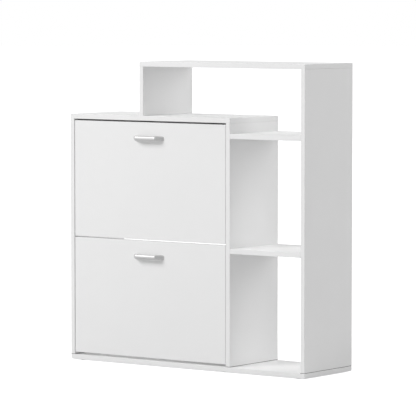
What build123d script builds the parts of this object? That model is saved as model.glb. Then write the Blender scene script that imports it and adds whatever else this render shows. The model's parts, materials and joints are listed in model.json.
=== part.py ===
"""A white shoe cabinet: two tilting flaps on the left, open shelves on the right, and a bridge above.

The frame: +X to the right, +Y to the back, +Z up. The origin is at the middle of the whole
object's outline on the floor, with the handles counted in its depth.
"""

from build123d import *
import math
import os

# ------------------------------------------------------------- driving dimensions, in millimetres
WIDTH = 934
DEPTH = 265
HEIGHT = 980  # from the base's underside to the bridge's upper face
BOARD = 16
EDGE_SOFTENING = 1

GLIDE_HEIGHT = 3
GLIDE_RADIUS = 11

CABINET_WIDTH = 646
CABINET_HEIGHT = 806
BRIDGE_OFFSET = 285  # from the left side's outer face to the bridge upright
SHELF_HEIGHTS = {"lower_shelf": 377, "upper_shelf": 741}
RAIL_HEIGHT = 100
WALL_HOLE_SPACING = 448
WALL_HOLE_RADIUS = 2.75

DOOR_HEIGHT = 379
DOOR_SIDE_GAP = 2
DOOR_RECESS = 1
DOOR_BOTTOMS = {"lower": 24, "upper": 406}
PIVOT_ABOVE_DOOR_BOTTOM = 14
OPENING_ANGLE = 48

HANDLE_LENGTH = 124
HANDLE_REACH = 25
HANDLE_HEIGHT = 16
HANDLE_BELOW_DOOR_TOP = 51
HANDLE_BAR_HALF = 41.5  # half the straight front of the bar
HANDLE_GAP = 16.5  # from the door to the back of the bar
HANDLE_GAP_HALF = 35  # half the length of that back
HANDLE_FOOT_HALF = 47.5  # half the clear length between the feet
HANDLE_OUTER_BEND = 9
HANDLE_INNER_BEND = 4
HANDLE_FRONT_ROUNDING = 7
HANDLE_BACK_ROUNDING = 1.2

# ------------------------------------------------------------------------- fittings, millimetres
CAM_RADIUS = 7.4
CAM_HEIGHT = 12.4
CAM_SETBACK = 34  # from a board's end to its cams' axes
CAM_CROSS = 8  # length of the driver's slots in a cam
CAM_CROSS_WIDTH = 1.6
CAM_CROSS_DEPTH = 2
CAP_RADIUS = 8.6
CAP_HEIGHT = 0.8
BOLT_RADIUS = 3.5
BOLT_THREAD_RADIUS = 2.9
BOLT_THREAD_LENGTH = 10.5
BOLT_HEAD_RADIUS = 3.4
BOLT_NECK_RADIUS = 2.2
DOWEL_RADIUS = 3.95
DOWEL_LENGTH = 30
DOWEL_IN_FACE = 10.5  # how deep a dowel goes into the face of a board
SCREW_LENGTH = 50
SCREW_RADIUS = 3.5
SCREW_CORE_RADIUS = 2.6
SCREW_HEAD_RADIUS = 5
HEX_RADIUS = 2.3
HEX_DEPTH = 2.5
GLIDE_PIN_RADIUS = 1.5
GLIDE_PIN_LENGTH = 10
SLACK = 0.1  # between a fitting and its hole
END_ROOM = 0.5  # left beyond the end of a fitting in its hole

PIN_RADIUS = 4
PIN_IN_DOOR = 25
BUSH_RADIUS = 5
BUSH_BORE_RADIUS = 4.05
BUSH_DEPTH = 10.5
BUSH_FLANGE_RADIUS = 7
BUSH_FLANGE = 1.4
STUD_RADIUS = 3
STUD_SLOT_WIDTH = 6.8
STUD_DISTANCE = 56  # from the pivot
STUD_ANGLE = 38  # behind the vertical through the pivot

CHEEK = 4
CHEEK_GAP = 3.5  # from a side panel to the cheek
CHEEK_RIM = 3
CHEEK_RIM_HEIGHT = 2.5
FLANGE = 3
FLANGE_WIDTH = 16
GROOVE = 1.5
RACK_BOARD = 3
RACK_BOARD_GAP = 0.1  # all round a board in its groove
CHEEK_SCREW_HEIGHTS = (30, 160, 285)

# -------------------------------------------------------------------------------- derived places
FRONT = (HANDLE_REACH - DOOR_RECESS - DEPTH) / 2
BACK = FRONT + DEPTH
LEFT = -WIDTH / 2
RIGHT = WIDTH / 2
INNER_LEFT = LEFT + BOARD
PARTITION_RIGHT = LEFT + CABINET_WIDTH
PARTITION_LEFT = PARTITION_RIGHT - BOARD
INNER_RIGHT = RIGHT - BOARD
BRIDGE_LEFT = LEFT + BRIDGE_OFFSET
CABINET_MIDDLE = (INNER_LEFT + PARTITION_LEFT) / 2

BASE_BOTTOM = GLIDE_HEIGHT
BASE_TOP = BASE_BOTTOM + BOARD
CABINET_TOP = BASE_BOTTOM + CABINET_HEIGHT
CABINET_UNDER = CABINET_TOP - BOARD
BRIDGE_TOP = BASE_BOTTOM + HEIGHT
BRIDGE_UNDER = BRIDGE_TOP - BOARD
RAIL_MIDDLE = CABINET_UNDER - RAIL_HEIGHT / 2

DOOR_FRONT = FRONT + DOOR_RECESS
DOOR_BACK = DOOR_FRONT + BOARD
DOOR_LEFT = INNER_LEFT + DOOR_SIDE_GAP
DOOR_RIGHT = PARTITION_LEFT - DOOR_SIDE_GAP
PIVOT_Y = DOOR_FRONT + BOARD / 2


def rows(inset):
    """Two places across the depth, each this far in from the front or the back."""
    return (FRONT + inset, BACK - inset)


# Shelves have rows of their own, clear of the cams under the cabinet top.
FRAME_ROWS = rows(37)
FRAME_DOWEL_ROWS = rows(69)
SHELF_ROWS = rows(53)
SHELF_DOWEL_ROWS = rows(85)
RAIL_ROWS = (RAIL_MIDDLE - RAIL_HEIGHT / 4, RAIL_MIDDLE + RAIL_HEIGHT / 4)
UPRIGHT_MIDDLES = (LEFT + BOARD / 2, PARTITION_RIGHT - BOARD / 2, RIGHT - BOARD / 2)
BRIDGE_MIDDLE = BRIDGE_LEFT + BOARD / 2
GLIDE_PLACES = [
    (x, y, BASE_BOTTOM)
    for x in (LEFT + 36, PARTITION_LEFT - 20, RIGHT - 36)
    for y in rows(26)
]

UP = (0, 0, 1)
DOWN = (0, 0, -1)
TO_LEFT = (-1, 0, 0)
TO_RIGHT = (1, 0, 0)
TO_FRONT = (0, -1, 0)
TO_BACK = (0, 1, 0)

os.makedirs("parts", exist_ok=True)


def save(piece, name):
    """Labels a finished piece and writes it to its own file."""
    piece.part.label = name
    export_step(piece.part, f"parts/{name}.step")


# ------------------------------------------------------------------------------ joints of boards
class CamJoint:
    """A cam in one board's face, and the bolt it pulls, which is screwed into another board."""

    def __init__(self, mouth, outward, towards):
        self.mouth = Vector(*mouth)
        self.outward = Vector(*outward)
        self.towards = Vector(*towards)
        self.cross = self.mouth - self.outward * (BOARD / 2)
        self.seam = self.cross + self.towards * CAM_SETBACK

    def cam_plane(self):
        return Plane(origin=self.mouth, x_dir=self.towards, z_dir=self.outward)

    def bolt_plane(self):
        return Plane(origin=self.cross, z_dir=self.towards)


def shelf_cams(height):
    """The four cams in the underside of a shelf whose underside is at height."""
    left_cams = [
        CamJoint((PARTITION_RIGHT + CAM_SETBACK, y, height), DOWN, TO_LEFT) for y in SHELF_ROWS
    ]
    right_cams = [
        CamJoint((INNER_RIGHT - CAM_SETBACK, y, height), DOWN, TO_RIGHT) for y in SHELF_ROWS
    ]
    return left_cams, right_cams


LEFT_TOP_CAMS = [
    CamJoint((INNER_LEFT, y, CABINET_UNDER - CAM_SETBACK), TO_RIGHT, UP) for y in FRAME_ROWS
]
PARTITION_TOP_CAMS = [
    CamJoint((PARTITION_LEFT, y, CABINET_UNDER - CAM_SETBACK), TO_LEFT, UP) for y in FRAME_ROWS
]
BRIDGE_UPRIGHT_CAMS = [
    CamJoint((BRIDGE_LEFT, y, BRIDGE_UNDER - CAM_SETBACK), TO_LEFT, UP) for y in FRAME_ROWS
]
RIGHT_TOP_CAMS = [
    CamJoint((INNER_RIGHT, y, BRIDGE_UNDER - CAM_SETBACK), TO_LEFT, UP) for y in FRAME_ROWS
]
RAIL_LEFT_CAMS = [
    CamJoint((INNER_LEFT + CAM_SETBACK, BACK, z), TO_BACK, TO_LEFT) for z in RAIL_ROWS
]
RAIL_RIGHT_CAMS = [
    CamJoint((PARTITION_LEFT - CAM_SETBACK, BACK, z), TO_BACK, TO_RIGHT) for z in RAIL_ROWS
]
SHELF_LEFT_CAMS = []
SHELF_RIGHT_CAMS = []
for shelf_height in SHELF_HEIGHTS.values():
    left_cams, right_cams = shelf_cams(BASE_BOTTOM + shelf_height)
    SHELF_LEFT_CAMS += left_cams
    SHELF_RIGHT_CAMS += right_cams
BARE_CAMS = LEFT_TOP_CAMS + PARTITION_TOP_CAMS + RAIL_LEFT_CAMS + RAIL_RIGHT_CAMS
CAPPED_CAMS = BRIDGE_UPRIGHT_CAMS + RIGHT_TOP_CAMS + SHELF_LEFT_CAMS + SHELF_RIGHT_CAMS

# Each dowel is a plane on the seam between two boards, facing into the end of the second board.
BASE_DOWELS = [
    Plane(origin=(x, (FRONT + BACK) / 2, BASE_TOP), z_dir=UP) for x in UPRIGHT_MIDDLES
]
CABINET_TOP_DOWELS = [
    Plane(origin=(x, y, CABINET_UNDER), z_dir=DOWN)
    for x in UPRIGHT_MIDDLES[:2]
    for y in FRAME_DOWEL_ROWS
]
BRIDGE_FOOT_DOWELS = [
    Plane(origin=(BRIDGE_MIDDLE, (FRONT + BACK) / 2, CABINET_TOP), z_dir=UP)
]
BRIDGE_TOP_DOWELS = [
    Plane(origin=(x, y, BRIDGE_UNDER), z_dir=DOWN)
    for x in (BRIDGE_MIDDLE, UPRIGHT_MIDDLES[2])
    for y in FRAME_DOWEL_ROWS
]
SHELF_LEFT_DOWELS = [
    Plane(origin=(PARTITION_RIGHT, y, BASE_BOTTOM + height + BOARD / 2), z_dir=TO_RIGHT)
    for height in SHELF_HEIGHTS.values()
    for y in SHELF_DOWEL_ROWS
]
SHELF_RIGHT_DOWELS = [
    Plane(origin=(INNER_RIGHT, y, BASE_BOTTOM + height + BOARD / 2), z_dir=TO_LEFT)
    for height in SHELF_HEIGHTS.values()
    for y in SHELF_DOWEL_ROWS
]

# Each screw is a plane on the underside of the board it goes through, facing down.
BASE_SCREWS = [
    Plane(origin=(x, y, BASE_BOTTOM), z_dir=DOWN) for x in UPRIGHT_MIDDLES for y in FRAME_ROWS
]
BRIDGE_SCREWS = [
    Plane(origin=(BRIDGE_MIDDLE, y, CABINET_UNDER), z_dir=DOWN) for y in FRAME_ROWS
]


# ------------------------------------------------------------------- cuts and shapes for a board
def board(left, right, front, back, bottom, top):
    """A coated board between two corners, with its edges a little softened."""
    with Locations(((left + right) / 2, (front + back) / 2, (bottom + top) / 2)):
        blank = Box(right - left, back - front, top - bottom)
    fillet(blank.edges(), radius=EDGE_SOFTENING)


def holes(planes, radius, depth):
    """Blind round holes, each with its mouth on a plane and running against its direction."""
    with Locations(*planes):
        Hole(radius, depth)


def cam_pockets(joints):
    """A cam's pocket in a board's face, and the bolt's way to it from the board's end."""
    holes([joint.cam_plane() for joint in joints], CAM_RADIUS + SLACK, CAM_HEIGHT + SLACK)
    ends = [Plane(origin=joint.seam, z_dir=joint.towards) for joint in joints]
    holes(ends, BOLT_RADIUS + END_ROOM, CAM_SETBACK)


def bolt_holes(joints):
    """The holes that the bolts are screwed into."""
    mouths = [Plane(origin=joint.seam, z_dir=-joint.towards) for joint in joints]
    holes(mouths, BOLT_THREAD_RADIUS + SLACK, BOLT_THREAD_LENGTH + END_ROOM)


def dowel_holes_in_face(planes):
    """Dowel holes in the face of the first board of each seam."""
    holes(planes, DOWEL_RADIUS + SLACK, DOWEL_IN_FACE + END_ROOM)


def dowel_holes_in_end(planes):
    """Dowel holes in the end of the second board of each seam."""
    mouths = [Plane(origin=plane.origin, z_dir=-plane.z_dir) for plane in planes]
    holes(mouths, DOWEL_RADIUS + SLACK, DOWEL_LENGTH - DOWEL_IN_FACE + END_ROOM)


def screw_holes_through(planes):
    """Countersunk holes right through a board, for screws from below."""
    with Locations(*planes):
        CounterSinkHole(
            radius=SCREW_RADIUS + SLACK,
            counter_sink_radius=SCREW_HEAD_RADIUS + SLACK,
            depth=BOARD,
            counter_sink_angle=90,
        )


def screw_holes_in_end(planes):
    """The narrower holes in the end of the board above, which the screws bite into."""
    mouths = [Plane(origin=plane.origin + Vector(0, 0, BOARD), z_dir=DOWN) for plane in planes]
    holes(mouths, SCREW_CORE_RADIUS + SLACK, SCREW_LENGTH - BOARD + 1)


def flap_fitting_holes(inner_face, outward):
    """In a side panel of the cabinet: holes for both flaps' bushes and stop studs."""
    for door_bottom in DOOR_BOTTOMS.values():
        pivot = pivot_point(inner_face, door_bottom)
        stud = stud_point(inner_face, door_bottom)
        holes([Plane(origin=pivot, z_dir=outward)], BUSH_RADIUS + SLACK, BUSH_DEPTH + SLACK)
        holes([Plane(origin=stud, z_dir=outward)], STUD_RADIUS + SLACK, BUSH_DEPTH + SLACK)


def pivot_point(x, door_bottom):
    """The flap's axis where it crosses the plane at x."""
    return (x, PIVOT_Y, BASE_BOTTOM + door_bottom + PIVOT_ABOVE_DOOR_BOTTOM)


def stud_point(x, door_bottom):
    """The stop stud's axis where it crosses the plane at x."""
    pivot_x, pivot_y, pivot_z = pivot_point(x, door_bottom)
    angle = math.radians(STUD_ANGLE)
    stud_y = pivot_y + STUD_DISTANCE * math.sin(angle)
    stud_z = pivot_z + STUD_DISTANCE * math.cos(angle)
    return (pivot_x, stud_y, stud_z)


# ---------------------------------------------------------------------------------- the carcass
with BuildPart() as base_panel:
    board(LEFT, RIGHT, FRONT, BACK, BASE_BOTTOM, BASE_TOP)
    screw_holes_through(BASE_SCREWS)
    dowel_holes_in_face(BASE_DOWELS)
    glide_mouths = [Plane(origin=place, z_dir=DOWN) for place in GLIDE_PLACES]
    holes(glide_mouths, GLIDE_PIN_RADIUS + SLACK, GLIDE_PIN_LENGTH + END_ROOM)
save(base_panel, "base_panel")

with BuildPart() as left_side_panel:
    board(LEFT, INNER_LEFT, FRONT, BACK, BASE_TOP, CABINET_UNDER)
    screw_holes_in_end(BASE_SCREWS[:2])
    dowel_holes_in_end(BASE_DOWELS[:1])
    dowel_holes_in_end(CABINET_TOP_DOWELS[:2])
    cam_pockets(LEFT_TOP_CAMS)
    bolt_holes(RAIL_LEFT_CAMS)
    flap_fitting_holes(INNER_LEFT, TO_RIGHT)
save(left_side_panel, "left_side_panel")

with BuildPart() as partition_panel:
    board(PARTITION_LEFT, PARTITION_RIGHT, FRONT, BACK, BASE_TOP, CABINET_UNDER)
    screw_holes_in_end(BASE_SCREWS[2:4])
    dowel_holes_in_end(BASE_DOWELS[1:2])
    dowel_holes_in_end(CABINET_TOP_DOWELS[2:])
    cam_pockets(PARTITION_TOP_CAMS)
    bolt_holes(RAIL_RIGHT_CAMS)
    bolt_holes(SHELF_LEFT_CAMS)
    dowel_holes_in_face(SHELF_LEFT_DOWELS)
    flap_fitting_holes(PARTITION_LEFT, TO_LEFT)
save(partition_panel, "partition_panel")

with BuildPart() as right_side_panel:
    board(INNER_RIGHT, RIGHT, FRONT, BACK, BASE_TOP, BRIDGE_UNDER)
    screw_holes_in_end(BASE_SCREWS[4:])
    dowel_holes_in_end(BASE_DOWELS[2:])
    dowel_holes_in_end(BRIDGE_TOP_DOWELS[2:])
    cam_pockets(RIGHT_TOP_CAMS)
    bolt_holes(SHELF_RIGHT_CAMS)
    dowel_holes_in_face(SHELF_RIGHT_DOWELS)
save(right_side_panel, "right_side_panel")

with BuildPart() as cabinet_top_panel:
    board(LEFT, PARTITION_RIGHT, FRONT, BACK, CABINET_UNDER, CABINET_TOP)
    bolt_holes(LEFT_TOP_CAMS + PARTITION_TOP_CAMS)
    dowel_holes_in_face(CABINET_TOP_DOWELS)
    screw_holes_through(BRIDGE_SCREWS)
    dowel_holes_in_face(BRIDGE_FOOT_DOWELS)
save(cabinet_top_panel, "cabinet_top_panel")

with BuildPart() as bridge_upright:
    board(BRIDGE_LEFT, BRIDGE_LEFT + BOARD, FRONT, BACK, CABINET_TOP, BRIDGE_UNDER)
    screw_holes_in_end(BRIDGE_SCREWS)
    dowel_holes_in_end(BRIDGE_FOOT_DOWELS)
    dowel_holes_in_end(BRIDGE_TOP_DOWELS[:2])
    cam_pockets(BRIDGE_UPRIGHT_CAMS)
save(bridge_upright, "bridge_upright")

with BuildPart() as bridge_top_panel:
    board(BRIDGE_LEFT, RIGHT, FRONT, BACK, BRIDGE_UNDER, BRIDGE_TOP)
    bolt_holes(BRIDGE_UPRIGHT_CAMS + RIGHT_TOP_CAMS)
    dowel_holes_in_face(BRIDGE_TOP_DOWELS)
save(bridge_top_panel, "bridge_top_panel")

for shelf_name, shelf_height in SHELF_HEIGHTS.items():
    underside = BASE_BOTTOM + shelf_height
    shelf_dowels = SHELF_LEFT_DOWELS + SHELF_RIGHT_DOWELS
    own_dowels = [plane for plane in shelf_dowels if abs(plane.origin.Z - underside) < BOARD]
    with BuildPart() as shelf:
        board(PARTITION_RIGHT, INNER_RIGHT, FRONT, BACK, underside, underside + BOARD)
        for cams in shelf_cams(underside):
            cam_pockets(cams)
        dowel_holes_in_end(own_dowels)
    save(shelf, shelf_name)

rail_front = BACK - BOARD
rail_bottom = CABINET_UNDER - RAIL_HEIGHT
wall_hole_places = [
    (CABINET_MIDDLE + side * WALL_HOLE_SPACING / 2, rail_front, RAIL_MIDDLE) for side in (-1, 1)
]
with BuildPart() as back_rail:
    board(INNER_LEFT, PARTITION_LEFT, rail_front, BACK, rail_bottom, CABINET_UNDER)
    cam_pockets(RAIL_LEFT_CAMS + RAIL_RIGHT_CAMS)
    with Locations(*[Plane(origin=place, z_dir=TO_FRONT) for place in wall_hole_places]):
        CounterSinkHole(
            radius=WALL_HOLE_RADIUS,
            counter_sink_radius=2 * WALL_HOLE_RADIUS,
            depth=BOARD,
            counter_sink_angle=90,
        )
save(back_rail, "back_rail")


# ------------------------------------------------------------------------- fittings of the boards
def cross_recess(length, width, depth):
    """Two crossed slots for a screwdriver, cut below the local plane."""
    Box(length, width, 2 * depth, mode=Mode.SUBTRACT)
    Box(width, length, 2 * depth, mode=Mode.SUBTRACT)


with BuildPart() as cam_disc:
    Cylinder(CAM_RADIUS, CAM_HEIGHT, align=(Align.CENTER, Align.CENTER, Align.MAX))
    cross_recess(CAM_CROSS, CAM_CROSS_WIDTH, CAM_CROSS_DEPTH)
    # the hollow that takes the bolt's head, open on the side the bolt comes from
    with Locations(Plane(origin=(-BOLT_HEAD_RADIUS - 0.6, 0, -BOARD / 2), z_dir=TO_RIGHT)):
        Cylinder(
            BOLT_HEAD_RADIUS + 3 * SLACK,
            2 * CAM_RADIUS,
            align=(Align.CENTER, Align.CENTER, Align.MIN),
            mode=Mode.SUBTRACT,
        )

with BuildPart() as cam_discs:
    with Locations(*[joint.cam_plane() for joint in BARE_CAMS + CAPPED_CAMS]):
        add(cam_disc.part)
save(cam_discs, "cam_discs")

with BuildPart() as cam_bolt:
    with BuildSketch(Plane.XZ):
        with BuildLine():
            Polyline(
                (0, -3),
                (BOLT_HEAD_RADIUS, -3),
                (BOLT_HEAD_RADIUS, 1),
                (BOLT_NECK_RADIUS, 2.2),
                (BOLT_NECK_RADIUS, 8),
                (BOLT_RADIUS, 9),
                (BOLT_RADIUS, CAM_SETBACK - 0.2),
                (BOLT_THREAD_RADIUS, CAM_SETBACK - 0.2),
                (BOLT_THREAD_RADIUS, CAM_SETBACK + BOLT_THREAD_LENGTH - 1),
                (BOLT_THREAD_RADIUS - 1, CAM_SETBACK + BOLT_THREAD_LENGTH),
                (0, CAM_SETBACK + BOLT_THREAD_LENGTH),
                close=True,
            )
        make_face()
    revolve(axis=Axis.Z)

with BuildPart() as cam_bolts:
    with Locations(*[joint.bolt_plane() for joint in BARE_CAMS + CAPPED_CAMS]):
        add(cam_bolt.part)
save(cam_bolts, "cam_bolts")

with BuildPart() as cam_caps:
    with Locations(*[joint.cam_plane() for joint in CAPPED_CAMS]):
        Cylinder(CAP_RADIUS, CAP_HEIGHT, align=(Align.CENTER, Align.CENTER, Align.MIN))
save(cam_caps, "cam_caps")

with BuildPart() as dowel:
    shaft = Cylinder(DOWEL_RADIUS, DOWEL_LENGTH)
    chamfer(shaft.edges().filter_by(GeomType.CIRCLE), length=1.2)

with BuildPart() as dowels:
    seams = (
        BASE_DOWELS
        + CABINET_TOP_DOWELS
        + BRIDGE_FOOT_DOWELS
        + BRIDGE_TOP_DOWELS
        + SHELF_LEFT_DOWELS
        + SHELF_RIGHT_DOWELS
    )
    with Locations(*[seam.offset(DOWEL_LENGTH / 2 - DOWEL_IN_FACE) for seam in seams]):
        add(dowel.part)
save(dowels, "dowels")

with BuildPart() as confirmat:
    with BuildSketch(Plane.XZ):
        with BuildLine():
            Polyline(
                (0, 0),
                (SCREW_HEAD_RADIUS, 0),
                (SCREW_RADIUS, SCREW_RADIUS - SCREW_HEAD_RADIUS),
                (SCREW_RADIUS, 1 - BOARD),
                (SCREW_CORE_RADIUS, -BOARD),
                (SCREW_CORE_RADIUS, 3 - SCREW_LENGTH),
                (0, -SCREW_LENGTH),
                close=True,
            )
        make_face()
    revolve(axis=Axis.Z)
    with BuildSketch():
        RegularPolygon(radius=HEX_RADIUS, side_count=6)
    extrude(amount=-HEX_DEPTH, mode=Mode.SUBTRACT)

with BuildPart() as confirmat_screws:
    with Locations(*BASE_SCREWS, *BRIDGE_SCREWS):
        add(confirmat.part)
save(confirmat_screws, "confirmat_screws")

with BuildPart() as glides:
    with Locations(*[Plane(origin=place, z_dir=DOWN) for place in GLIDE_PLACES]):
        Cylinder(GLIDE_RADIUS, GLIDE_HEIGHT, align=(Align.CENTER, Align.CENTER, Align.MIN))
        Cylinder(
            GLIDE_PIN_RADIUS, GLIDE_PIN_LENGTH, align=(Align.CENTER, Align.CENTER, Align.MAX)
        )
    chamfer(glides.edges().filter_by(GeomType.CIRCLE).group_by(Axis.Z)[0], length=0.8)
save(glides, "glides")


# ------------------------------------------------------------------ bushes and studs of the flaps
SIDE_FACES = ((INNER_LEFT, TO_RIGHT), (PARTITION_LEFT, TO_LEFT))

with BuildPart() as hinge_bushes:
    for face, outward in SIDE_FACES:
        for door_bottom in DOOR_BOTTOMS.values():
            with Locations(Plane(origin=pivot_point(face, door_bottom), z_dir=outward)):
                Cylinder(BUSH_RADIUS, BUSH_DEPTH, align=(Align.CENTER, Align.CENTER, Align.MAX))
                Cylinder(
                    BUSH_FLANGE_RADIUS, BUSH_FLANGE, align=(Align.CENTER, Align.CENTER, Align.MIN)
                )
                Cylinder(BUSH_BORE_RADIUS, 3 * BUSH_DEPTH, mode=Mode.SUBTRACT)
save(hinge_bushes, "hinge_bushes")

with BuildPart() as stop_studs:
    for face, outward in SIDE_FACES:
        for door_bottom in DOOR_BOTTOMS.values():
            with Locations(Plane(origin=stud_point(face, door_bottom), z_dir=outward)):
                Cylinder(STUD_RADIUS, BUSH_DEPTH, align=(Align.CENTER, Align.CENTER, Align.MAX))
                Cylinder(
                    STUD_RADIUS,
                    CHEEK_GAP + CHEEK + 2,
                    align=(Align.CENTER, Align.CENTER, Align.MIN),
                )
save(stop_studs, "stop_studs")


# ------------------------------------------------------------------------------------- the flaps
# Places inside a flap are (behind the door's back face, above the door's lower edge).
CHEEK_OUTLINE = [(0, 6), (0, 305), (125, 314), (212, 292), (212, 118), (60, 6)]
CHEEK_CORNERS = [(125, 314, 40), (212, 292, 18), (212, 118, 30), (60, 6, 20)]
RACK_BOARDS = {
    "front_pocket_floor": ((4, 72), (90, 67)),
    "pocket_divider": ((94, 62), (112, 298)),
    "rear_pocket_floor": ((103, 129), (196, 142)),
    "rear_pocket_back": ((200, 134), (205, 284)),
}
HANDLE_X = CABINET_MIDDLE
HANDLE_SCREW_OFFSET = 53
HANDLE_SCREW_IN = 6
HANDLE_SCREW_RADIUS = 2
HANDLE_SCREW_HEAD_RADIUS = 4
HANDLE_SCREW_HEAD = 2.6
HANDLE_SCREW_CROSS = (4.6, 1, 1.6)  # length, width and depth of the slots
CHEEK_SCREW_RADIUS = 1.6
CHEEK_SCREW_HEAD_RADIUS = 3.5
CHEEK_SCREW_HEAD = 2
CHEEK_SCREW_IN = 11
CHEEK_SCREW_CROSS = (3.8, 0.8, 1.2)
# outer face of each cheek, and the way from it into the cabinet
CHEEK_SIDES = {
    "left": (INNER_LEFT + CHEEK_GAP, 1),
    "right": (PARTITION_LEFT - CHEEK_GAP, -1),
}


def flap_plane(x, door_bottom):
    """The plane at x whose axes run back from the door's back face and up from its lower edge."""
    origin = (x, DOOR_BACK, BASE_BOTTOM + door_bottom)
    return Plane(origin=origin, x_dir=(0, 1, 0), z_dir=(1, 0, 0))


def strip(ends, thickness, length_added=0):
    """In a sketch: a thin board seen end on, between two points."""
    (start_y, start_z), (end_y, end_z) = ends
    length = math.dist(*ends) + length_added
    slope = math.degrees(math.atan2(end_z - start_z, end_y - start_y))
    with Locations(((start_y + end_y) / 2, (start_z + end_z) / 2)):
        Rectangle(length, thickness, rotation=slope)


def cheek_screw_planes(door_bottom):
    """On the inner face of both cheeks' flanges, facing back."""
    return [
        Plane(
            origin=(
                outer_face + inward * (CHEEK + FLANGE_WIDTH) / 2,
                DOOR_BACK + FLANGE,
                BASE_BOTTOM + door_bottom + height,
            ),
            z_dir=TO_BACK,
        )
        for outer_face, inward in CHEEK_SIDES.values()
        for height in CHEEK_SCREW_HEIGHTS
    ]


def handle_screw_planes(door_bottom, y):
    """Across the two handle screws, at y, facing back."""
    height = BASE_BOTTOM + door_bottom + DOOR_HEIGHT - HANDLE_BELOW_DOOR_TOP
    return [
        Plane(origin=(HANDLE_X + side * HANDLE_SCREW_OFFSET, y, height), z_dir=TO_BACK)
        for side in (-1, 1)
    ]


def make_door(door_bottom):
    bottom = BASE_BOTTOM + door_bottom
    with BuildPart() as door:
        board(DOOR_LEFT, DOOR_RIGHT, DOOR_FRONT, DOOR_BACK, bottom, bottom + DOOR_HEIGHT)
        for end, outward in ((DOOR_LEFT, TO_LEFT), (DOOR_RIGHT, TO_RIGHT)):
            pin_mouth = Plane(origin=pivot_point(end, door_bottom), z_dir=outward)
            holes([pin_mouth], BUSH_BORE_RADIUS, PIN_IN_DOOR + SLACK)
        holes(handle_screw_planes(door_bottom, DOOR_BACK), HANDLE_SCREW_RADIUS + SLACK, BOARD)
        screw_mouths = [plane.offset(-FLANGE) for plane in cheek_screw_planes(door_bottom)]
        holes(screw_mouths, CHEEK_SCREW_RADIUS + SLACK, CHEEK_SCREW_IN - FLANGE + 1)
    return door


def is_behind_the_bar(edge):
    """Whether an edge of a handle borders its finger gap."""
    middle = edge.center()
    return middle.Y > DOOR_FRONT - HANDLE_GAP - 1 and abs(middle.X - HANDLE_X) < HANDLE_FOOT_HALF


def make_handle(door_bottom):
    """A bow handle: a bar with a rounded front, whose ends slant back to two feet on the door."""
    half = HANDLE_LENGTH / 2
    middle = BASE_BOTTOM + door_bottom + DOOR_HEIGHT - HANDLE_BELOW_DOOR_TOP
    base = Plane(origin=(HANDLE_X, DOOR_FRONT, middle - HANDLE_HEIGHT / 2))
    with BuildPart() as handle:
        with BuildSketch(base) as bow:
            with BuildLine():
                Polyline(
                    (-half, 0),
                    (-HANDLE_BAR_HALF, -HANDLE_REACH),
                    (HANDLE_BAR_HALF, -HANDLE_REACH),
                    (half, 0),
                    (HANDLE_FOOT_HALF, 0),
                    (HANDLE_GAP_HALF, -HANDLE_GAP),
                    (-HANDLE_GAP_HALF, -HANDLE_GAP),
                    (-HANDLE_FOOT_HALF, 0),
                    close=True,
                )
            make_face()
            bends = bow.vertices().group_by(Axis.Y)
            fillet(bends[0], radius=HANDLE_OUTER_BEND)
            fillet(bends[1], radius=HANDLE_INNER_BEND)
        extrude(amount=HANDLE_HEIGHT)
        rims = handle.faces().filter_by(Axis.Z).edges()
        rims = rims.filter_by(lambda edge: edge.center().Y < DOOR_FRONT - SLACK)
        inner_rims = rims.filter_by(is_behind_the_bar)
        outer_rims = [edge for edge in rims if edge not in inner_rims]
        fillet(outer_rims, radius=HANDLE_FRONT_ROUNDING)
        fillet(inner_rims, radius=HANDLE_BACK_ROUNDING)
        feet = handle_screw_planes(door_bottom, DOOR_FRONT)
        holes(feet, HANDLE_SCREW_RADIUS + SLACK / 2, HANDLE_SCREW_IN + END_ROOM)
    return handle


def make_handle_screws(door_bottom):
    with BuildPart() as handle_screws:
        with Locations(*handle_screw_planes(door_bottom, DOOR_BACK)):
            Cylinder(
                HANDLE_SCREW_HEAD_RADIUS,
                HANDLE_SCREW_HEAD,
                align=(Align.CENTER, Align.CENTER, Align.MIN),
            )
            Cylinder(
                HANDLE_SCREW_RADIUS,
                BOARD + HANDLE_SCREW_IN,
                align=(Align.CENTER, Align.CENTER, Align.MAX),
            )
        rims = handle_screws.edges().group_by(Axis.Y)[-1]
        fillet(rims, radius=HANDLE_SCREW_HEAD / 2)
        heads = handle_screw_planes(door_bottom, DOOR_BACK + HANDLE_SCREW_HEAD)
        with Locations(*heads):
            cross_recess(*HANDLE_SCREW_CROSS)
    return handle_screws


def make_pivot_pins(door_bottom):
    with BuildPart() as pivot_pins:
        for face, outward in SIDE_FACES:
            with Locations(Plane(origin=pivot_point(face, door_bottom), z_dir=outward)):
                Cylinder(PIN_RADIUS, BUSH_DEPTH - 0.5, align=(Align.CENTER, Align.CENTER, Align.MAX))
                Cylinder(
                    PIN_RADIUS,
                    DOOR_SIDE_GAP + PIN_IN_DOOR,
                    align=(Align.CENTER, Align.CENTER, Align.MIN),
                )
    return pivot_pins


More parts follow.
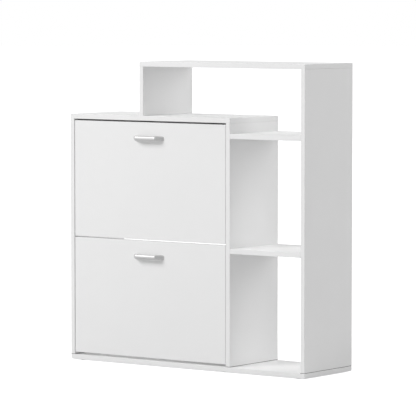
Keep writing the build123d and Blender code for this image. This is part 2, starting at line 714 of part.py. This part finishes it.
def make_cheek(side, door_bottom):
    """A moulded side plate of the shoe pockets, with its flange on the door's back."""
    outer_face, inward = CHEEK_SIDES[side]
    outer_plane = flap_plane(outer_face, door_bottom)
    inner_plane = flap_plane(outer_face + inward * (CHEEK - GROOVE), door_bottom)
    pivot = (-BOARD / 2, PIVOT_ABOVE_DOOR_BOTTOM)
    with BuildPart() as cheek:
        with BuildSketch(outer_plane) as plate:
            with BuildLine():
                Polyline(*CHEEK_OUTLINE, close=True)
            make_face()
            for corner_y, corner_z, radius in CHEEK_CORNERS:
                corner = plate.vertices().sort_by_distance((corner_y, corner_z))[0]
                fillet(corner, radius=radius)
        extrude(amount=inward * CHEEK)
        with BuildSketch(outer_plane):
            add(plate.sketch_local)
            offset(amount=-CHEEK_RIM, mode=Mode.SUBTRACT)
        extrude(amount=inward * (CHEEK + CHEEK_RIM_HEIGHT))
        with BuildSketch(outer_plane):
            with Locations((FLANGE / 2, (CHEEK_OUTLINE[0][1] + CHEEK_OUTLINE[1][1]) / 2)):
                Rectangle(FLANGE, CHEEK_OUTLINE[1][1] - CHEEK_OUTLINE[0][1])
        extrude(amount=inward * FLANGE_WIDTH)
        with BuildSketch(outer_plane):
            with BuildLine() as stud_path:
                CenterArc(pivot, STUD_DISTANCE, 90 - STUD_ANGLE - OPENING_ANGLE, OPENING_ANGLE)
            SlotArc(stud_path.edge(), STUD_SLOT_WIDTH)
        extrude(amount=inward * CHEEK, mode=Mode.SUBTRACT)
        with BuildSketch(inner_plane):
            for ends in RACK_BOARDS.values():
                strip(ends, RACK_BOARD + 2 * RACK_BOARD_GAP, 2 * RACK_BOARD_GAP)
        extrude(amount=inward * GROOVE, mode=Mode.SUBTRACT)
        screw_planes = cheek_screw_planes(door_bottom)
        own_planes = [plane for plane in screw_planes if abs(plane.origin.X - outer_face) < 20]
        holes(own_planes, CHEEK_SCREW_RADIUS + 3 * SLACK, FLANGE)
    return cheek


def make_cheek_screws(door_bottom):
    with BuildPart() as cheek_screws:
        with Locations(*cheek_screw_planes(door_bottom)):
            Cylinder(
                CHEEK_SCREW_HEAD_RADIUS,
                CHEEK_SCREW_HEAD,
                align=(Align.CENTER, Align.CENTER, Align.MIN),
            )
            Cylinder(
                CHEEK_SCREW_RADIUS,
                CHEEK_SCREW_IN,
                align=(Align.CENTER, Align.CENTER, Align.MAX),
            )
        rims = cheek_screws.edges().group_by(Axis.Y)[-1]
        fillet(rims, radius=CHEEK_SCREW_HEAD / 2)
        heads = [plane.offset(CHEEK_SCREW_HEAD) for plane in cheek_screw_planes(door_bottom)]
        with Locations(*heads):
            cross_recess(*CHEEK_SCREW_CROSS)
    return cheek_screws


def make_rack_board(ends, door_bottom):
    """A thin board of the shoe pockets, held by its ends in the cheeks' grooves."""
    first = INNER_LEFT + CHEEK_GAP + CHEEK - GROOVE + RACK_BOARD_GAP
    last = PARTITION_LEFT - CHEEK_GAP - CHEEK + GROOVE - RACK_BOARD_GAP
    with BuildPart() as rack_board:
        with BuildSketch(flap_plane(first, door_bottom)):
            strip(ends, RACK_BOARD)
        extrude(amount=last - first)
    return rack_board


for flap, door_bottom in DOOR_BOTTOMS.items():
    save(make_door(door_bottom), f"{flap}_door_panel")
    save(make_handle(door_bottom), f"{flap}_handle")
    save(make_handle_screws(door_bottom), f"{flap}_handle_screws")
    save(make_pivot_pins(door_bottom), f"{flap}_pivot_pins")
    for side in CHEEK_SIDES:
        save(make_cheek(side, door_bottom), f"{flap}_{side}_cheek")
    save(make_cheek_screws(door_bottom), f"{flap}_cheek_screws")
    for rack_board_name, ends in RACK_BOARDS.items():
        save(make_rack_board(ends, door_bottom), f"{flap}_{rack_board_name}")
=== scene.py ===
import json
import math

import bpy
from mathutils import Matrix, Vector


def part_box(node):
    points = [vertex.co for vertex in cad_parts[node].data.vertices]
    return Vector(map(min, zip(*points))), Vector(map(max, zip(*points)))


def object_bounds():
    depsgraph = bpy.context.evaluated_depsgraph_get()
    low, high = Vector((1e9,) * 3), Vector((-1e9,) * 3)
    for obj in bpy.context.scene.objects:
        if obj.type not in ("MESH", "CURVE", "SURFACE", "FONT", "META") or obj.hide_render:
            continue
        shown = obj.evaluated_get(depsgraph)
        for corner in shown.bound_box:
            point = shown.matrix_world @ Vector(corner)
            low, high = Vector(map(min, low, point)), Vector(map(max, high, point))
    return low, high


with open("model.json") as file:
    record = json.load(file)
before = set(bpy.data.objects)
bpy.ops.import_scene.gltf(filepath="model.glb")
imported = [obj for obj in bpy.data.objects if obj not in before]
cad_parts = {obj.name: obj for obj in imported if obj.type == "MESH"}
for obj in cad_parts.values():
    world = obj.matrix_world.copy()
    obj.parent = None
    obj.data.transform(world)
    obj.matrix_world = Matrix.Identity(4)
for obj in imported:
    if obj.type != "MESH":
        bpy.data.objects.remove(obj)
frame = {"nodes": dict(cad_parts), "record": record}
cad_low, cad_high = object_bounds()

# ---------------------------------------------------------------------------- camera, in metres
CAMERA_FROM_CORNER = Vector((6.5373, -8.0836, 1.2041))  # from the base's front left lower corner
CAMERA_TURN = 36.479
CAMERA_DIP = 3.898
CAMERA_LENS = 274.67

# ------------------------------------------------------------------------------ light and floor
FILL_STRENGTH = 0.46
LIGHT_DISTANCE = 9.0
# name: degrees round from the front, degrees above the level, width in metres, watts
LIGHTS = {
    "key": (-33, 32, 4.5, 435),
    "rim": (135, 20, 4.5, 120),
    "back_low": (180, 20, 4.5, 170),
    "back_high": (160, 50, 4.5, 160),
}
FLOOR_RADIUS = 60
FLOOR_TONE = 0.9
FLOOR_LIFT = 0.85  # a glow that only the camera sees, so that the floor looks white
FLOOR_BOUNCE = 0.60  # the tone that lights the cabinet from below
WHITE = (1, 1, 1, 1)

# ---------------------------------------------------------------------------------- finishes
COATING = 0.0005  # thickness of the paper or foil on a board
EDGE_BAND = 0.001  # thickness of the band glued round a board
SEAM = 0.00012  # half the width of the glue line beside an edge band
SEAM_TONE = 0.6
CORE_ROUGHNESS = 0.9
BAND_SHINE = 0.06  # how much less rough an edge band is than a face
FOOT_SHADE_HEIGHT = 0.0018  # height of the painted shade: a dark band where an upright stands on the base, standing in for the shadow in that joint
# tone of the painted shade at the foot of each upright
FOOT_SHADE_TONE = 0.08
STANDING_BOARDS = ("left_side_panel", "partition_panel", "right_side_panel")


class Shader:
    """A new node material with a Principled surface, and short ways to add nodes to it."""

    def __init__(self, name, colour, roughness, metallic=0.0):
        self.material = bpy.data.materials.new(name)
        self.material.use_nodes = True
        self.tree = self.material.node_tree
        self.surface = self.tree.nodes["Principled BSDF"]
        self.surface.inputs["Base Color"].default_value = (*colour, 1)
        self.surface.inputs["Roughness"].default_value = roughness
        self.surface.inputs["Metallic"].default_value = metallic
        self.places = self.node("ShaderNodeTexCoord").outputs["Object"]

    def node(self, kind, **settings):
        made = self.tree.nodes.new(kind)
        for name, value in settings.items():
            setattr(made, name, value)
        return made

    def plug(self, value, socket):
        """Gives a socket another socket's output, or a plain number, vector or colour."""
        if isinstance(value, bpy.types.NodeSocket):
            self.tree.links.new(value, socket)
        else:
            socket.default_value = value

    def calculate(self, operation, first, second=0.0):
        """One step of arithmetic on numbers or sockets."""
        made = self.node("ShaderNodeMath", operation=operation)
        self.plug(first, made.inputs[0])
        self.plug(second, made.inputs[1])
        return made.outputs[0]

    def scaled(self, factors):
        """The object's places, stretched along its axes."""
        made = self.node("ShaderNodeMapping")
        self.plug(self.places, made.inputs["Vector"])
        made.inputs["Scale"].default_value = factors
        return made.outputs[0]

    def noise(self, scale, detail=2.0, roughness=0.5, places=None):
        made = self.node("ShaderNodeTexNoise")
        self.plug(self.places if places is None else places, made.inputs["Vector"])
        made.inputs["Scale"].default_value = scale
        made.inputs["Detail"].default_value = detail
        made.inputs["Roughness"].default_value = roughness
        return made.outputs["Fac"]

    def cells(self, scale):
        """A random grey for each of many small cells."""
        made = self.node("ShaderNodeTexVoronoi")
        self.plug(self.places, made.inputs["Vector"])
        made.inputs["Scale"].default_value = scale
        return made.outputs["Color"]

    def span(self, value, low, high, start=0.3, end=0.7):
        """Maps a value from start..end to low..high, held at both ends."""
        made = self.node("ShaderNodeMapRange")
        for given, name in ((value, "Value"), (start, "From Min"), (end, "From Max")):
            self.plug(given, made.inputs[name])
        self.plug(low, made.inputs["To Min"])
        self.plug(high, made.inputs["To Max"])
        return made.outputs["Result"]

    def blend(self, factor, first, second):
        """Mixes two colours, each an (r, g, b) or a socket."""
        made = self.node("ShaderNodeMix", data_type="RGBA")
        self.plug(factor, made.inputs["Factor"])
        for value, name in ((first, "A"), (second, "B")):
            socket = [s for s in made.inputs if s.name == name and s.type == "RGBA"][0]
            self.plug(value if isinstance(value, bpy.types.NodeSocket) else (*value, 1), socket)
        return [s for s in made.outputs if s.type == "RGBA"][0]

    def place_along(self, axis):
        """Where a point is along one of the object's axes."""
        split = self.node("ShaderNodeSeparateXYZ")
        self.plug(self.places, split.inputs[0])
        return split.outputs[axis]

    def edge_distance(self, low, high, axes):
        """How far a point is from the nearest of a box's faces across these axes."""
        nearest = 1.0
        for axis in axes:
            along = self.place_along(axis)
            nearest = self.calculate("MINIMUM", self.calculate("SUBTRACT", along, low[axis]), nearest)
            nearest = self.calculate("MINIMUM", self.calculate("SUBTRACT", high[axis], along), nearest)
        return nearest

    def colour(self, value):
        self.plug(value, self.surface.inputs["Base Color"])

    def roughness(self, value):
        self.plug(value, self.surface.inputs["Roughness"])

    def bump(self, height, depth):
        """Raises the surface by up to depth metres where height is 1."""
        made = self.node("ShaderNodeBump")
        made.inputs["Strength"].default_value = 1.0
        made.inputs["Distance"].default_value = depth
        self.plug(height, made.inputs["Height"])
        self.plug(made.outputs["Normal"], self.surface.inputs["Normal"])


# ------------------------------------------------------------------------------------ materials
def grey(tone):
    return (tone, tone, tone)


def coated_panel(node, tones, gloss, grain_scale, grain_depth, core):
    """A coated board: its face, the seams beside its edge bands, painted shade at an upright's foot,
    and its bare core in any hole.

    tones, gloss and core each hold two values that the pattern drifts between.
    """
    low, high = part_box(node)
    sizes = [high[axis] - low[axis] for axis in range(3)]
    thin = sizes.index(min(sizes))
    made = Shader(f"{node}_coating", grey(tones[0]), gloss[0])

    face = made.blend(made.span(made.noise(5.0, 3.0), 0.0, 1.0), grey(tones[0]), grey(tones[1]))
    from_edge = made.edge_distance(low, high, [axis for axis in range(3) if axis != thin])
    off_seam = made.calculate("ABSOLUTE", made.calculate("SUBTRACT", from_edge, EDGE_BAND))
    seam = made.span(off_seam, 1.0, 0.0, SEAM, 2 * SEAM)
    faced = made.blend(made.calculate("MULTIPLY", seam, 0.5), face, grey(SEAM_TONE))
    # painted shade: the foot of each upright is darkened to stand for the shadow where it meets the
    # base
    if node in STANDING_BOARDS:
        from_foot = made.calculate("SUBTRACT", made.place_along(2), low.z)
        painted_foot_shade = made.span(from_foot, 0.9, 0.0, 0.8 * FOOT_SHADE_HEIGHT, FOOT_SHADE_HEIGHT)
        faced = made.blend(painted_foot_shade, faced, grey(FOOT_SHADE_TONE))

    inside = made.edge_distance(low, high, range(3))
    bare = made.span(inside, 0.0, 1.0, COATING, 1.2 * COATING)
    chips = made.blend(made.cells(1300.0), core[0], core[1])
    made.colour(made.blend(bare, faced, chips))

    sheen = made.span(made.noise(40.0, 3.0), gloss[0], gloss[1])
    band = made.span(from_edge, gloss[0] - BAND_SHINE, sheen, EDGE_BAND, EDGE_BAND + SEAM)
    made.roughness(made.span(bare, band, CORE_ROUGHNESS, 0.0, 1.0))
    grain = made.noise(grain_scale, 3.0, 0.6)
    sunk = made.calculate("SUBTRACT", grain, seam)
    rough_core = made.calculate("MULTIPLY", bare, made.noise(900.0, 4.0))
    made.bump(made.calculate("ADD", sunk, rough_core), grain_depth)
    return made.material


def coated_board(node):
    """White melamine on chipboard, with a fine pearl grain."""
    chipboard = ((0.36, 0.24, 0.13), (0.68, 0.52, 0.33))
    return coated_panel(node, (0.91, 0.93), (0.40, 0.50), 1400.0, 0.00003, chipboard)


def door_foil(node):
    """The doors' smoother foil on fibreboard, with a very faint orange peel."""
    fibreboard = ((0.48, 0.35, 0.22), (0.58, 0.44, 0.29))
    return coated_panel(node, (0.915, 0.925), (0.32, 0.40), 320.0, 0.00003, fibreboard)


def hardboard(node):
    """Lacquered hardboard: white faces, and brown pressed fibre along its sawn edges."""
    low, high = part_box(node)
    rise = high.z - low.z
    if node.endswith("front_pocket_floor"):
        rise = -rise  # the only one of these boards that falls towards the back
    along = Vector((0, high.y - low.y, rise)).normalized()
    made = Shader(f"{node}_lacquer", grey(0.82), 0.45)
    facing = made.node("ShaderNodeVectorMath", operation="DOT_PRODUCT")
    made.plug(made.node("ShaderNodeTexCoord").outputs["Normal"], facing.inputs[0])
    facing.inputs[1].default_value = along
    sawn = made.span(made.calculate("ABSOLUTE", facing.outputs["Value"]), 0.0, 1.0, 0.6, 0.7)
    white = made.blend(made.span(made.noise(60.0, 4.0), 0.0, 1.0), grey(0.82), grey(0.86))
    fibre = made.blend(made.noise(1500.0, 3.0), (0.24, 0.14, 0.07), (0.46, 0.31, 0.18))
    made.colour(made.blend(sawn, white, fibre))
    made.roughness(made.span(sawn, made.span(made.noise(90.0, 2.0), 0.40, 0.52), 0.85, 0.0, 1.0))
    made.bump(made.noise(700.0, 4.0, 0.7), 0.00005)
    return made.material


def moulded_nylon(name, tone, scale):
    """Moulded plastic with a fine spark-eroded texture and slow sink marks."""
    made = Shader(name, grey(tone), 0.42)
    made.colour(made.blend(made.span(made.noise(14.0), 0.0, 1.0), grey(tone), grey(tone + 0.03)))
    made.roughness(made.span(made.noise(80.0, 2.0), 0.38, 0.50))
    sink_marks = made.calculate("MULTIPLY", made.noise(18.0), 6.0)
    texture = made.calculate("ADD", made.noise(scale, 2.0, 0.5), sink_marks)
    made.bump(texture, 0.00003)
    return made.material


def satin_nickel():
    """Fine brushing along the bar, under a thin satin lacquer."""
    made = Shader("satin_nickel", grey(0.74), 0.54, metallic=0.88)
    brushed = made.noise(240.0, 3.0, 0.6, made.scaled((0.05, 1.0, 6.0)))
    made.colour(made.blend(made.span(brushed, 0.0, 1.0), grey(0.70), grey(0.78)))
    made.roughness(made.span(brushed, 0.48, 0.62))
    made.bump(brushed, 0.00002)
    return made.material


def zinc():
    """Zinc plate with dull crystals of differing tone."""
    made = Shader("zinc_plate", (0.62, 0.63, 0.65), 0.4, metallic=1.0)
    made.colour(made.blend(made.cells(700.0), (0.54, 0.55, 0.57), (0.70, 0.71, 0.73)))
    made.roughness(made.span(made.noise(300.0, 2.0), 0.34, 0.50))
    made.bump(made.noise(900.0, 3.0), 0.00002)
    return made.material


def beech():
    """Bare wood with its grain along the vertical."""
    made = Shader("bare_beech", (0.66, 0.46, 0.28), 0.6)
    grain = made.noise(500.0, 4.0, 0.6, made.scaled((1.0, 1.0, 0.1)))
    made.colour(made.blend(made.span(grain, 0.0, 1.0), (0.58, 0.38, 0.21), (0.72, 0.53, 0.34)))
    made.bump(grain, 0.0001)
    return made.material


OWN_MATERIALS = {"white_board": coated_board, "white_door": door_foil, "white_hardboard": hardboard}
SHARED_MATERIALS = {
    "white_plastic": moulded_nylon("white_nylon", 0.84, 1800.0),
    "glide_plastic": moulded_nylon("glide_plastic", 0.72, 1200.0),
    "satin_metal": satin_nickel(),
    "zinc_fitting": zinc(),
    "beech_dowel": beech(),
}


def dress_nodes():
    """Gives every CAD node the material of its slot."""
    for entry in frame["record"]["subparts"]:
        name, slot = entry["node"], entry["material_slot"]
        material = OWN_MATERIALS[slot](name) if slot in OWN_MATERIALS else SHARED_MATERIALS[slot]
        node = frame["nodes"][name]
        node.data.materials.clear()
        node.data.materials.append(material)


# ------------------------------------------------------------------------- floor, light, camera
def make_floor():
    """A plain pale disc. The camera sees it near white, and it lights the cabinet less than that."""
    bpy.ops.mesh.primitive_circle_add(vertices=96, radius=FLOOR_RADIUS, fill_type="NGON")
    floor = bpy.context.object
    floor.name = "floor"
    floor.location = (0, 0, cad_low.z)
    material = bpy.data.materials.new("pale_floor")
    material.use_nodes = True
    tree = material.node_tree
    tree.nodes.clear()
    output = tree.nodes.new("ShaderNodeOutputMaterial")
    seen = tree.nodes.new("ShaderNodeAddShader")
    pale = tree.nodes.new("ShaderNodeBsdfDiffuse")
    lift = tree.nodes.new("ShaderNodeEmission")
    bounce = tree.nodes.new("ShaderNodeBsdfDiffuse")
    ray = tree.nodes.new("ShaderNodeLightPath")
    choice = tree.nodes.new("ShaderNodeMixShader")
    pale.inputs["Color"].default_value = (*grey(FLOOR_TONE), 1)
    lift.inputs["Strength"].default_value = FLOOR_LIFT
    bounce.inputs["Color"].default_value = (*grey(FLOOR_BOUNCE), 1)
    tree.links.new(pale.outputs[0], seen.inputs[0])
    tree.links.new(lift.outputs[0], seen.inputs[1])
    tree.links.new(ray.outputs["Is Camera Ray"], choice.inputs[0])
    tree.links.new(bounce.outputs[0], choice.inputs[1])
    tree.links.new(seen.outputs[0], choice.inputs[2])
    tree.links.new(choice.outputs[0], output.inputs["Surface"])
    floor.data.materials.append(material)


def make_world():
    """Even soft light from all round, which the camera itself sees as white."""
    world = bpy.data.worlds.new("studio")
    world.use_nodes = True
    tree = world.node_tree
    background = tree.nodes["Background"]
    background.inputs["Color"].default_value = WHITE
    ray = tree.nodes.new("ShaderNodeLightPath")
    strength = tree.nodes.new("ShaderNodeMapRange")
    tree.links.new(ray.outputs["Is Camera Ray"], strength.inputs["Value"])
    strength.inputs["To Min"].default_value = FILL_STRENGTH
    strength.inputs["To Max"].default_value = 1.0
    tree.links.new(strength.outputs["Result"], background.inputs["Strength"])
    bpy.context.scene.world = world


def make_lights():
    """Large round soft lights, all aimed at the cabinet's middle."""
    middle = (cad_low + cad_high) / 2
    for name, (turn, height, size, watts) in LIGHTS.items():
        across, up = math.radians(turn), math.radians(height)
        away = Vector(
            (math.sin(across) * math.cos(up), -math.cos(across) * math.cos(up), math.sin(up))
        )
        data = bpy.data.lights.new(name, "AREA")
        data.shape = "DISK"
        data.size = size
        data.energy = watts
        light = bpy.data.objects.new(name, data)
        light.location = middle + away * LIGHT_DISTANCE
        light.rotation_euler = away.to_track_quat("Z", "Y").to_euler()
        bpy.context.scene.collection.objects.link(light)


def make_camera():
    base_low, base_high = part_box("base_panel")
    data = bpy.data.cameras.new("camera")
    data.lens = CAMERA_LENS
    data.clip_end = 500
    camera = bpy.data.objects.new("camera", data)
    camera.location = base_low + CAMERA_FROM_CORNER
    camera.rotation_euler = (math.radians(90 - CAMERA_DIP), 0, math.radians(CAMERA_TURN))
    bpy.context.scene.collection.objects.link(camera)
    bpy.context.scene.camera = camera


make_camera()
make_world()
make_lights()
make_floor()
dress_nodes()
bpy.context.scene.view_settings.view_transform = "Standard"
